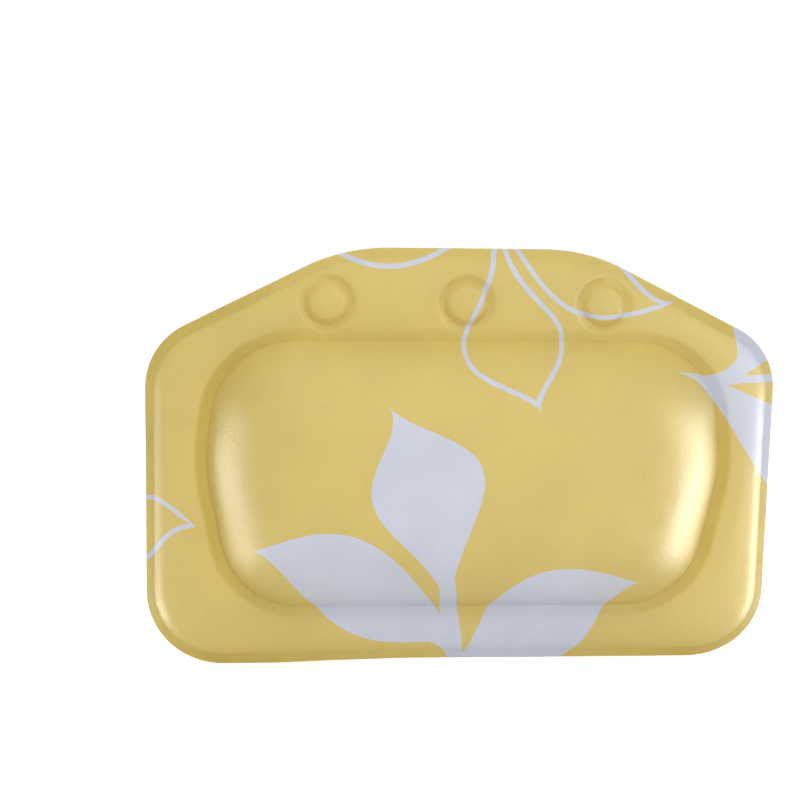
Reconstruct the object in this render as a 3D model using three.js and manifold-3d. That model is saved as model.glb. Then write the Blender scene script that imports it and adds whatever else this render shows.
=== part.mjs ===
import * as THREE from 'three';
import { mergeVertices } from 'three/addons/utils/BufferGeometryUtils.js';
import Module from 'manifold-3d';

// Bath pillow, in millimetres. X runs across it, Z is up, the front faces -Y and the wall is at y = 0.
// The origin is on the middle suction cup's axis. Depths count from the welded seam towards the front.

// Outline of the welded seam
const WIDTH = 330;
const HEIGHT = 221;
const TOP_WIDTH = 126;
const BOTTOM_WIDTH = 329;
const SHOULDER_DROP = 51;
const TOP_ROUND = 96;
const SHOULDER_ROUND = 36;
const BOTTOM_ROUND = 40;

// Skin, fit and padded border
const SKIN = 0.8;
const FIT = 0.3;
const FRONT_FLANGE = 4.2;
const BACK_FLANGE = 3;
const BORDER_ROLL = 4.4;
const FRONT_BORDER = 3.4;
const BACK_BORDER = 5;

// Crowned panel, ringed by a pressed groove
const GROOVE_SHOULDER = 4.6;
const GROOVE_DEPTH = 1.6;
const FRONT_CROWN = 27;
const BACK_CROWN = 14.4;
const WALL_CLEARANCE = 0.4;
const FLAT_HEIGHT = 44;
const PANEL_SIDE_MARGIN = 26;
const PANEL_BOTTOM_MARGIN = 29;
const PANEL_TOP_TAPER = 9;
const PANEL_BOTTOM_TAPER = 16.5;
const PANEL_WIDEST_DROP = 113;
const PANEL_TOP_ROUND = 47;
const PANEL_SIDE_ROUND = 105;
const PANEL_BOTTOM_ROUND = 45;
const BACK_PANEL_LOWER = 9;

// Suction cups, with their lips on the wall
const CUP_SPACING = 72;
const CUP_DROP = 28;
const CUP_RADIUS = 10.25;
const CUP_LIP = 1.3;
const CUP_EDGE = 0.7;
const CUP_DISH = 3.2;
const CUP_WALL = 1.3;
const BOSS_RADIUS = 5.35;
const NECK_RADIUS = 3;
const HEAD_OVERHANG = 1.6;
const HEAD_HEIGHT = 2.2;

// Anchor discs in round pockets that are pressed into both covers
const DISC_RADIUS = 9;
const DISC_THICKNESS = 1.6;
const DISC_MARGIN = 0.4;
const POCKET_RING = 4.1;
const POCKET_DEPTH = 1.5;
const POCKET_LAP = 0.5;

// Facets
const STRAIGHT_STEP = 34;
const ARC_STEP = Math.PI / 8;
const ARC_POINTS = 12;
const ROLL_STEPS = 2;
const CROWN_STEPS = [0.1, 0.26, 0.52, 1];
const DISH_STEPS = 3;
const HEAD_STEPS = 3;
const CUP_FACETS = 24;
const POCKET_FACETS = 14;
const FOAM_ARC_FACETS = 5;
const LEAST_ROUND = 0.5;
const WELD = 1e-4;

// Places that follow from the sizes above
const CUPS = { left: -CUP_SPACING, middle: 0, right: CUP_SPACING };
const HOLE_RADIUS = NECK_RADIUS + FIT;
const SEAT_RADIUS = DISC_RADIUS + DISC_MARGIN;
const POCKET_RADIUS = SEAT_RADIUS + POCKET_RING;
const SEAM_Y = -(BACK_CROWN + WALL_CLEARANCE);
const FRONT_FACE_Y = SEAM_Y - FRONT_BORDER;
const BACK_FACE_Y = SEAM_Y + BACK_BORDER;
const DISC_BACK_Y = BACK_FACE_Y - SKIN - FIT;
const DISC_FRONT_Y = DISC_BACK_Y - DISC_THICKNESS;
const HEAD_BACK_Y = DISC_FRONT_Y - FIT;
const TOP_Z = CUP_DROP;
const BOTTOM_Z = TOP_Z - HEIGHT;
const FRONT_PANEL_TOP_Z = -(POCKET_RADIUS + POCKET_LAP + GROOVE_SHOULDER);
const BACK_PANEL_TOP_Z = FRONT_PANEL_TOP_Z - BACK_PANEL_LOWER;
const PANEL_BOTTOM_Z = BOTTOM_Z + PANEL_BOTTOM_MARGIN;
const CENTRE_Z = (BACK_PANEL_TOP_Z + PANEL_BOTTOM_Z) / 2;
const CROWN_RUN = (BACK_PANEL_TOP_Z - PANEL_BOTTOM_Z - FLAT_HEIGHT) / 2;

const wasm = await Module();
wasm.setup();

// Outlines are lists of [x, z, rounding] corners, anticlockwise as seen from the front
function mirrored(rightCorners) {
  const leftCorners = rightCorners.map(([x, z, round]) => [-x, z, round]).reverse();
  return [...rightCorners, ...leftCorners];
}

function panelCorners(topZ) {
  const halfWidth = WIDTH / 2 - PANEL_SIDE_MARGIN;
  return mirrored([
    [halfWidth - PANEL_BOTTOM_TAPER, PANEL_BOTTOM_Z, PANEL_BOTTOM_ROUND],
    [halfWidth, TOP_Z - PANEL_WIDEST_DROP, PANEL_SIDE_ROUND],
    [halfWidth - PANEL_TOP_TAPER, topZ, PANEL_TOP_ROUND],
  ]);
}

const SEAM = mirrored([
  [BOTTOM_WIDTH / 2, BOTTOM_Z, BOTTOM_ROUND],
  [WIDTH / 2, TOP_Z - SHOULDER_DROP, SHOULDER_ROUND],
  [TOP_WIDTH / 2, TOP_Z, TOP_ROUND],
]);
const FRONT_PANEL = panelCorners(FRONT_PANEL_TOP_Z);
const BACK_PANEL = panelCorners(BACK_PANEL_TOP_Z);

// Rounded outline, drawn in by the inset or let out where the inset is negative
function outline(corners, inset) {
  const shape = new THREE.Shape();
  corners.forEach(([x, z, round], i) => {
    const corner = new THREE.Vector2(x, z);
    const before = new THREE.Vector2(...corners.at(i - 1)).sub(corner).normalize();
    const after = new THREE.Vector2(...corners[(i + 1) % corners.length]).sub(corner).normalize();
    const half = Math.acos(before.dot(after)) / 2;
    const radius = Math.max(round - inset, LEAST_ROUND);
    const bisector = before.clone().add(after).normalize();
    const centre = corner.clone().addScaledVector(bisector, (inset + radius) / Math.sin(half));
    const facing = bisector.negate().angle();
    const sweep = Math.PI / 2 - half;
    shape.absarc(centre.x, centre.y, radius, facing - sweep, facing + sweep, false);
  });
  shape.closePath();
  return shape;
}

// Directions from the middle of the panel, spaced to suit the straights and arcs of the seam
function seamAngles() {
  const angles = [];
  for (const curve of outline(SEAM, 0).curves) {
    const turn = curve.isEllipseCurve ? Math.abs(curve.aEndAngle - curve.aStartAngle) / ARC_STEP : 0;
    const steps = Math.ceil(Math.max(turn, curve.getLength() / STRAIGHT_STEP));
    for (let step = 0; step < steps; step += 1) {
      const point = curve.getPoint(step / steps);
      angles.push(Math.atan2(point.y - CENTRE_Z, point.x));
    }
  }
  return angles;
}

const ANGLES = seamAngles();

// One ring of points at a depth, where those directions cross an outline
function ring(corners, inset, depth) {
  const points = outline(corners, inset).getPoints(ARC_POINTS);
  return ANGLES.map((angle) => {
    const along = new THREE.Vector2(Math.cos(angle), Math.sin(angle));
    let reach = 0;
    points.forEach((end, i) => {
      const start = points.at(i - 1);
      const side = end.clone().sub(start);
      const offset = new THREE.Vector2(start.x, start.y - CENTRE_Z);
      const crossing = along.cross(side);
      const share = offset.cross(along) / crossing;
      if (crossing !== 0 && share >= 0 && share <= 1) {
        reach = Math.max(reach, offset.cross(side) / crossing);
      }
    });
    return new THREE.Vector3(reach * along.x, SEAM_Y - depth, CENTRE_Z + reach * along.y);
  });
}

// Quarter-round roll from the seam flange up to the padded border
function rollRings(flange, rim, border) {
  const rings = [];
  for (let step = 0; step <= ROLL_STEPS; step += 1) {
    const angle = (step / ROLL_STEPS) * (Math.PI / 2);
    const inset = flange + BORDER_ROLL * (1 - Math.cos(angle));
    rings.push(ring(SEAM, inset, rim + (border - rim) * Math.sin(angle)));
  }
  return rings;
}

// Crown of the panel, steep at its groove and flat in its middle
function crownRings(panel, groove, crown) {
  return CROWN_STEPS.map((step) => {
    const rise = 1 - (1 - step) ** 3;
    return ring(panel, step * CROWN_RUN, groove + (crown - groove) * rise);
  });
}

// Outer face of a cover from its rim inwards, with side = 1 for the front and -1 for the back
function coverRings(side, flange, border, crown, panel) {
  const rim = side * (FIT / 2 + SKIN);
  const groove = side * (border - GROOVE_DEPTH);
  return [
    ring(SEAM, 0, rim),
    ...rollRings(flange, rim, side * border),
    ring(panel, -GROOVE_SHOULDER, side * border),
    ring(panel, 0, groove),
    ...crownRings(panel, groove, side * crown),
  ];
}

function shifted(rings, y) {
  return rings.map((points) => points.map((point) => point.clone().setY(point.y + y)));
}

// Closed body between a front face and a back face, both given as rings from the rim inwards
function body(front, back) {
  const count = ANGLES.length;
  const index = [];
  const face = (start, rings, flip) => {
    const triangle = (a, b, c) => index.push(...(flip ? [a, c, b] : [a, b, c]));
    for (let r = 0; r < rings - 1; r += 1) {
      for (let k = 0; k < count; k += 1) {
        const a = start + r * count + k;
        const b = start + r * count + ((k + 1) % count);
        triangle(a, b, b + count);
        triangle(a, b + count, a + count);
      }
    }
    const middle = start + (rings - 1) * count;
    for (let k = 1; k < count - 1; k += 1) {
      triangle(middle, middle + k, middle + k + 1);
    }
  };
  const backStart = front.length * count;
  face(0, front.length, false);
  face(backStart, back.length, true);
  for (let k = 0; k < count; k += 1) {
    const next = (k + 1) % count;
    index.push(k, backStart + k, backStart + next, k, backStart + next, next);
  }
  const vertices = [...front.flat(), ...back.flat()].flatMap((point) => point.toArray());
  const geometry = new THREE.BufferGeometry();
  geometry.setAttribute('position', new THREE.Float32BufferAttribute(vertices, 3));
  geometry.setIndex(index);
  return geometry;
}

// Turned body about a cup's axis, from [radius, y] points that end on the axis or close on themselves
function turned(profile, facets) {
  const points = profile.map(([radius, y]) => new THREE.Vector2(radius, y));
  return new THREE.LatheGeometry(points, facets);
}

function solid(geometry) {
  const bare = geometry.clone();
  bare.deleteAttribute('normal');
  bare.deleteAttribute('uv');
  const merged = mergeVertices(bare, WELD);
  return new wasm.Manifold(new wasm.Mesh({
    numProp: 3,
    vertProperties: Float32Array.from(merged.attributes.position.array),
    triVerts: Uint32Array.from(merged.index.array),
  }));
}

function geometryOf(manifold) {
  const { vertProperties, triVerts } = manifold.getMesh();
  const geometry = new THREE.BufferGeometry();
  geometry.setAttribute('position', new THREE.BufferAttribute(vertProperties, 3));
  geometry.setIndex(new THREE.BufferAttribute(triVerts, 1));
  return geometry;
}

function cutAtCups(manifold, cutter) {
  return Object.values(CUPS).reduce(
    (cut, x) => cut.subtract(solid(cutter.clone().translate(x, 0, 0))),
    manifold,
  );
}

// Takes a round piece out of a cover at each cup and sets the pressed pocket in its place
function withPockets(cover, pocket, faceY) {
  const through = 4 * (POCKET_DEPTH + SKIN);
  const plug = new THREE.CylinderGeometry(POCKET_RADIUS, POCKET_RADIUS, through, POCKET_FACETS);
  plug.translate(0, faceY, 0);
  const joined = Object.values(CUPS).reduce(
    (result, x) => result.add(solid(pocket.clone().translate(x, 0, 0))),
    cutAtCups(solid(cover), plug),
  );
  return geometryOf(joined);
}

// Face of a pressed pocket from its seat outwards, with sink as the way into the pillow
function pocketFace(faceY, sink) {
  return [
    [SEAT_RADIUS, faceY],
    [SEAT_RADIUS + POCKET_RING / 2, faceY + sink * POCKET_DEPTH],
    [POCKET_RADIUS, faceY],
    [POCKET_RADIUS + POCKET_LAP, faceY],
  ];
}

// Front cover: crowned panel, padded border, seam flange and a round pocket over each anchor disc
function frontCover() {
  const outer = coverRings(1, FRONT_FLANGE, FRONT_BORDER, FRONT_CROWN, FRONT_PANEL);
  const face = [[0, FRONT_FACE_Y], ...pocketFace(FRONT_FACE_Y, 1)];
  const inside = face.map(([radius, y]) => [radius, y + SKIN]).reverse();
  const pocket = turned([...face, ...inside], POCKET_FACETS);
  return withPockets(body(outer, shifted(outer, SKIN)), pocket, FRONT_FACE_Y);
}

// Back cover: a flatter crown, and a hole for each cup's neck
function backCover() {
  const outer = coverRings(-1, BACK_FLANGE, BACK_BORDER, BACK_CROWN, BACK_PANEL);
  const face = [[HOLE_RADIUS, BACK_FACE_Y], ...pocketFace(BACK_FACE_Y, -1)];
  const inside = face.map(([radius, y]) => [radius, y - SKIN]);
  const pocket = turned([...inside, ...face.reverse(), inside[0]], POCKET_FACETS);
  return withPockets(body(shifted(outer, -SKIN), outer), pocket, BACK_FACE_Y);
}

// Foam block that fills the crowned panel
function coreFoam() {
  const front = crownRings(FRONT_PANEL, FRONT_BORDER - GROOVE_DEPTH, FRONT_CROWN);
  const back = crownRings(BACK_PANEL, GROOVE_DEPTH - BACK_BORDER, -BACK_CROWN);
  return body(shifted(front, SKIN + FIT), shifted(back, -SKIN - FIT));
}

// Foam sheet in the border, thinned under the pressed pockets and cut through for the discs
function borderFoam() {
  const sheet = outline(SEAM, Math.max(FRONT_FLANGE, BACK_FLANGE) + BORDER_ROLL + FIT);
  sheet.holes.push(outline(FRONT_PANEL, -(GROOVE_SHOULDER + FIT)));
  const frontY = FRONT_FACE_Y + SKIN + FIT;
  const backY = BACK_FACE_Y - SKIN - FIT;
  const thickness = backY - frontY;
  const foam = new THREE.ExtrudeGeometry(sheet, {
    depth: thickness,
    bevelEnabled: false,
    curveSegments: FOAM_ARC_FACETS,
  });
  foam.rotateX(Math.PI / 2).translate(0, backY, 0);
  const hole = DISC_RADIUS + FIT;
  const recess = POCKET_RADIUS + FIT;
  const cutter = turned([
    [0, frontY - thickness],
    [recess, frontY - thickness],
    [recess, frontY + POCKET_DEPTH],
    [hole, frontY + POCKET_DEPTH],
    [hole, backY - POCKET_DEPTH],
    [recess, backY - POCKET_DEPTH],
    [recess, backY + thickness],
    [0, backY + thickness],
  ], POCKET_FACETS);
  return geometryOf(cutAtCups(solid(foam), cutter));
}

// Hollow of a cup's dish, from its middle to the inner edge of the lip
function dishHollow() {
  const mouth = CUP_RADIUS - CUP_LIP;
  return Array.from({ length: DISH_STEPS + 1 }, (_, step) => {
    const share = step / DISH_STEPS;
    return [mouth * share, -CUP_DISH * (1 - share ** 2)];
  });
}

// Rounded head of a cup, from its shoulder to its tip
function cupHead() {
  return Array.from({ length: HEAD_STEPS + 1 }, (_, step) => {
    const angle = (step / HEAD_STEPS) * (Math.PI / 2);
    const radius = step === HEAD_STEPS ? 0 : (NECK_RADIUS + HEAD_OVERHANG) * Math.cos(angle);
    return [radius, HEAD_BACK_Y - HEAD_HEIGHT * Math.sin(angle)];
  });
}

// Suction cup: flat lip, hollow dish, boss, and a neck through the cover with a head behind the disc
function suctionCup() {
  const profile = [
    ...dishHollow(),
    [CUP_RADIUS, 0],
    [CUP_RADIUS, -CUP_EDGE],
    [BOSS_RADIUS, -(CUP_DISH + CUP_WALL)],
    [BOSS_RADIUS, BACK_FACE_Y + FIT],
    [NECK_RADIUS, BACK_FACE_Y + FIT],
    [NECK_RADIUS, HEAD_BACK_Y],
    ...cupHead(),
  ];
  return turned(profile.reverse(), CUP_FACETS);
}

// Ring welded inside the back cover, behind which the cup's head snaps
function anchorDisc() {
  return turned([
    [HOLE_RADIUS, DISC_FRONT_Y],
    [DISC_RADIUS, DISC_FRONT_Y],
    [DISC_RADIUS, DISC_BACK_Y],
    [HOLE_RADIUS, DISC_BACK_Y],
    [HOLE_RADIUS, DISC_FRONT_Y],
  ], CUP_FACETS);
}

function printedVinyl(colour) {
  return new THREE.MeshStandardMaterial({ color: colour, roughness: 0.42, metalness: 0 });
}

function foamFinish() {
  return new THREE.MeshStandardMaterial({ color: 0xf1ead2, roughness: 0.95, metalness: 0 });
}

function clearVinyl(opacity) {
  return new THREE.MeshStandardMaterial({
    color: 0xe9eef0,
    roughness: 0.12,
    metalness: 0,
    transparent: true,
    opacity,
  });
}

const part = new THREE.Group();
part.name = 'bath_pillow';

function place(name, geometry, material) {
  geometry.computeVertexNormals();
  const mesh = new THREE.Mesh(geometry, material);
  mesh.name = name;
  part.add(mesh);
  return mesh;
}

place('front_cover', frontCover(), printedVinyl(0xdbc27b));
place('back_cover', backCover(), printedVinyl(0xd5ba5f));
place('core_foam', coreFoam(), foamFinish());
place('border_foam', borderFoam(), foamFinish());
for (const [name, x] of Object.entries(CUPS)) {
  place(`suction_cup_${name}`, suctionCup(), clearVinyl(0.45)).position.x = x;
  place(`anchor_disc_${name}`, anchorDisc(), clearVinyl(0.8)).position.x = x;
}

export default part;
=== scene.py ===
"""Bath pillow of printed vinyl over foam, with three clear suction cups, in a plain studio.

Sizes are in millimetres and become metres where a mesh, a lamp or the camera takes its place.
X runs across the pillow, Z is up, the front faces -Y and the wall that the cups hold is at y = 0.
"""

import logging
import math
from collections.abc import Iterable, Sequence
from dataclasses import dataclass
from enum import Enum
from functools import cached_property

import bmesh
import bpy
import numpy as np
from mathutils import Matrix, Vector
from mathutils.bvhtree import BVHTree
from mathutils.geometry import delaunay_2d_cdt


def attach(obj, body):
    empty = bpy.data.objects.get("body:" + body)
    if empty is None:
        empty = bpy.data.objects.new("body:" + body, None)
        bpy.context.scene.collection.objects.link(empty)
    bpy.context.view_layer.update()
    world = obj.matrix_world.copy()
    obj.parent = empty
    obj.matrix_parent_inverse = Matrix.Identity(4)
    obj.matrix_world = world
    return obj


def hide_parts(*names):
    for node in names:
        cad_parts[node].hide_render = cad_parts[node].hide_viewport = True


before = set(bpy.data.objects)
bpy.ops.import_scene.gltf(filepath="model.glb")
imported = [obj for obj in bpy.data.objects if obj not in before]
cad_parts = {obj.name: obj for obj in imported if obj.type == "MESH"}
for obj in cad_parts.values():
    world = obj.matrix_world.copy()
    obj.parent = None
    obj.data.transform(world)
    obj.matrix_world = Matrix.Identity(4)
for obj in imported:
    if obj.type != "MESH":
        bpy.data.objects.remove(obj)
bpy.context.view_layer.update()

LOG = logging.getLogger("bath_pillow")
MM = 0.001
PILLOW_BODY = "pillow"

Point = tuple[float, float]
Span = tuple[float, float]
Corner = tuple[float, float, float]
Colour = tuple[float, float, float, float]
Socket = bpy.types.NodeSocket
Value = Socket | float | tuple[float, ...]

WHITE: Colour = (1.0, 1.0, 1.0, 1.0)
TINY = 1e-6


class Side(Enum):
    """The way that a cover faces."""

    FRONT = 1
    BACK = -1


class LeafStyle(Enum):
    """How a leaf is printed, with the width of its printed line in millimetres."""

    SOLID = 1000.0
    LINE = 2.5


class Detail(Enum):
    """How many finer waves are laid on a noise."""

    FEW = 1.0
    SOME = 2.0
    MANY = 3.0


class Graph:
    """A node tree with short calls for the nodes that this scene uses."""

    NOISE_MEAN = 0.5

    def __init__(self, tree: bpy.types.NodeTree) -> None:
        """Takes the tree that the calls add nodes to."""
        self.tree = tree

    def node(self, kind: str, **settings: object) -> bpy.types.Node:
        """Adds a node.

        Args:
            kind: Blender's name of the node's type.
            settings: Properties to set on the node.

        Returns:
            The new node.
        """
        node = self.tree.nodes.new(kind)
        for name, value in settings.items():
            setattr(node, name, value)
        return node

    def feed(self, socket: Socket, value: Value) -> None:
        """Links an input to another node's output, or sets it where the value is a constant.

        Args:
            socket: The input.
            value: What goes into it.
        """
        if isinstance(value, Socket):
            self.tree.links.new(value, socket)
        else:
            socket.default_value = value

    def fed(self, kind: str, inputs: dict[str, Value], **settings: object) -> bpy.types.Node:
        """Adds a node and feeds its named inputs.

        Args:
            kind: Blender's name of the node's type.
            inputs: What goes into each named input.
            settings: Properties to set on the node.

        Returns:
            The new node.
        """
        node = self.node(kind, **settings)
        for name, value in inputs.items():
            self.feed(node.inputs[name], value)
        return node

    def math(self, operation: str, *values: Value, clamp: bool = False) -> Socket:
        """Adds a Math node.

        Args:
            operation: The node's operation.
            values: What goes into its inputs, in order.
            clamp: Whether its result is held between 0 and 1.

        Returns:
            Its result.
        """
        node = self.node("ShaderNodeMath", operation=operation, use_clamp=clamp)
        for socket, value in zip(node.inputs, values):
            self.feed(socket, value)
        return node.outputs[0]

    def vector(self, operation: str, *values: Value) -> Socket:
        """Adds a Vector Math node.

        Args:
            operation: The node's operation.
            values: What goes into its inputs, in order.

        Returns:
            Its result, a number for a dot product and a vector otherwise.
        """
        node = self.node("ShaderNodeVectorMath", operation=operation)
        for socket, value in zip(node.inputs, values):
            self.feed(socket, value)
        return node.outputs["Value" if operation == "DOT_PRODUCT" else "Vector"]

    def scaled(self, vector: Value, scale: float) -> Socket:
        """Adds a node that scales a vector.

        Args:
            vector: The vector.
            scale: What it is multiplied by.

        Returns:
            The scaled vector.
        """
        node = self.fed("ShaderNodeVectorMath", {"Scale": scale}, operation="SCALE")
        self.feed(node.inputs[0], vector)
        return node.outputs["Vector"]

    def smooth(
        self, value: Value, low: Value, high: Value, start: Value = 0.0, end: Value = 1.0,
    ) -> Socket:
        """Adds a smooth step.

        Args:
            value: What is stepped.
            low: Where the step begins.
            high: Where it ends.
            start: The result before it.
            end: The result after it.

        Returns:
            The stepped value.
        """
        inputs = {"Value": value, "From Min": low, "From Max": high, "To Min": start, "To Max": end}
        node = self.fed("ShaderNodeMapRange", inputs, interpolation_type="SMOOTHSTEP")
        return node.outputs["Result"]

    def mixed(self, share: Value, first: Colour, second: Colour) -> Socket:
        """Adds a mix of two colours.

        Args:
            share: The share of the second colour.
            first: The colour where the share is 0.
            second: The colour where it is 1.

        Returns:
            The mixed colour.
        """
        node = self.fed("ShaderNodeMix", {"Factor": share}, data_type="RGBA")
        self.feed(node.inputs["A"], first)
        self.feed(node.inputs["B"], second)
        return node.outputs["Result"]

    def noise(self, place: Socket, scale: float, detail: Detail, seed: float) -> Socket:
        """Returns a noise from 0 to 1 with some waves per metre, in the pattern that the seed picks."""
        inputs = {"Vector": place, "W": seed, "Scale": scale, "Detail": detail.value}
        return self.fed("ShaderNodeTexNoise", inputs, noise_dimensions="4D").outputs[0]


class FinishGraph(Graph):
    """The node tree of a new material, with short calls for its shader."""

    def __init__(self, name: str) -> None:
        """Makes the material.

        Args:
            name: The material's name.
        """
        self.material = bpy.data.materials.new(name)
        self.material.use_nodes = True
        super().__init__(self.material.node_tree)
        self.shader = self.tree.nodes["Principled BSDF"]

    @cached_property
    def place(self) -> Socket:
        """The piece's points in metres, as its Object coordinates."""
        return self.node("ShaderNodeTexCoord").outputs["Object"]

    def millimetres(self) -> dict[str, Socket]:
        """Takes the piece's points apart.

        Returns:
            Their X and Z in millimetres, by name.
        """
        scaled = self.scaled(self.place, 1 / MM)
        parts = self.fed("ShaderNodeSeparateXYZ", {"Vector": scaled}).outputs
        return {axis: parts[axis] for axis in ("X", "Z")}

    def dress(self, name: str, value: Value) -> None:
        """Feeds one of the shader's inputs by name."""
        self.feed(self.shader.inputs[name], value)

    def bump(self, height: Socket, strength: float, rise: float) -> None:
        """Gives the surface a fine relief that rises by some millimetres."""
        inputs = {"Height": height, "Strength": strength, "Distance": rise * MM}
        self.dress("Normal", self.fed("ShaderNodeBump", inputs).outputs["Normal"])


@dataclass(frozen=True)
class Mottle:
    """An uneven tone: a noise whose span of values is stretched between two levels."""

    scale: float
    detail: Detail
    span: Span
    levels: Span

    def value(self, graph: FinishGraph, seed: float) -> Socket:
        """Returns the tone on a finish, in the pattern that the seed picks."""
        waves = graph.noise(graph.place, self.scale, self.detail, seed)
        return graph.smooth(waves, *self.span, *self.levels)


def linked_object(name: str, mesh: bpy.types.Mesh) -> bpy.types.Object:
    """Puts a mesh in the scene, at the origin.

    Args:
        name: The object's name.
        mesh: Its mesh.

    Returns:
        The new object.
    """
    piece = bpy.data.objects.new(name, mesh)
    bpy.context.scene.collection.objects.link(piece)
    return piece


def evaluated_mesh(piece: bpy.types.Object) -> bpy.types.Mesh:
    """Returns a plain mesh of an object with its modifiers applied."""
    graph = bpy.context.evaluated_depsgraph_get()
    return bpy.data.meshes.new_from_object(piece.evaluated_get(graph), depsgraph=graph)


def coordinates(mesh: bpy.types.Mesh) -> np.ndarray:
    """Reads a mesh's points.

    Args:
        mesh: The mesh.

    Returns:
        Rows of x, y and z, in metres.
    """
    flat = np.empty(len(mesh.vertices) * 3)
    mesh.vertices.foreach_get("co", flat)
    return flat.reshape(-1, 3)


def eased(share: np.ndarray) -> np.ndarray:
    """Returns shares from 0 to 1 with a smooth start and end."""
    return share * share * (3.0 - 2.0 * share)


def settle(piece: bpy.types.Object, body: str, nodes: Iterable[str]) -> None:
    """Makes a finished piece stand for its CAD nodes.

    Args:
        piece: The finished object.
        body: The body that it moves with.
        nodes: The CAD nodes that it replaces.
    """
    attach(piece, body)
    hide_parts(*nodes)
    LOG.info("%s: %d faces, rides on %s", piece.name, len(piece.data.polygons), body)


@dataclass(frozen=True)
class Outline:
    """A convex outline of rounded corners, anticlockwise as seen from the front."""

    right_corners: tuple[Corner, ...]
    shift: float = 0.0
    arc_steps: int = 24
    least_round: float = 0.5

    def points(self, inset: float) -> np.ndarray:
        """Draws the outline.

        Args:
            inset: How far it is drawn in, or let out where this is negative.

        Returns:
            Rows of x and z along its arcs, whose ends its straight sides join.
        """
        corners = list(self.right_corners)
        corners += [(-x, z, turn) for x, z, turn in reversed(self.right_corners)]
        rows = []
        for index, (x, z, turn) in enumerate(corners):
            corner = Vector((x, z))
            before = (Vector(corners[index - 1][:2]) - corner).normalized()
            after = (Vector(corners[(index + 1) % len(corners)][:2]) - corner).normalized()
            half = math.acos(before.dot(after)) / 2
            radius = max(turn - inset, self.least_round)
            bisector = (before + after).normalized()
            centre = corner + bisector * ((inset + radius) / math.sin(half))
            facing = math.atan2(-bisector.y, -bisector.x)
            sweep = math.pi / 2 - half
            for angle in np.linspace(facing - sweep, facing + sweep, self.arc_steps):
                rows.append((centre.x + radius * math.cos(angle), centre.y + radius * math.sin(angle)))
        return np.array(rows) + (self.shift, 0.0)

    def ring(self, inset: float, step: float) -> np.ndarray:
        """Spaces points along the outline, in rows with those of its other rings.

        Args:
            inset: How far the outline is drawn in.
            step: The distance between points where it isn't drawn in.

        Returns:
            Rows of x and z.
        """
        full, drawn = (np.vstack([rows, rows[:1]]) for rows in (self.points(0.0), self.points(inset)))
        reach = np.concatenate([[0.0], np.cumsum(np.linalg.norm(np.diff(full, axis=0), axis=1) + TINY)])
        places = np.linspace(0.0, reach[-1], round(reach[-1] / step), endpoint=False)
        return np.column_stack([np.interp(places, reach, drawn[:, axis]) for axis in (0, 1)])

    def depth(self, points: np.ndarray) -> np.ndarray:
        """Measures how far points are inside the outline.

        Args:
            points: Rows of x and z.

        Returns:
            One distance for each point, negative outside.
        """
        starts = self.points(0.0)
        sides = np.roll(starts, -1, axis=0) - starts
        lengths = np.linalg.norm(sides, axis=1)
        starts, sides, lengths = (rows[lengths > TINY] for rows in (starts, sides, lengths))
        inward = np.column_stack([-sides[:, 1], sides[:, 0]]) / lengths[:, None]
        return np.min(points @ inward.T - np.sum(starts * inward, axis=1), axis=1)


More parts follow.
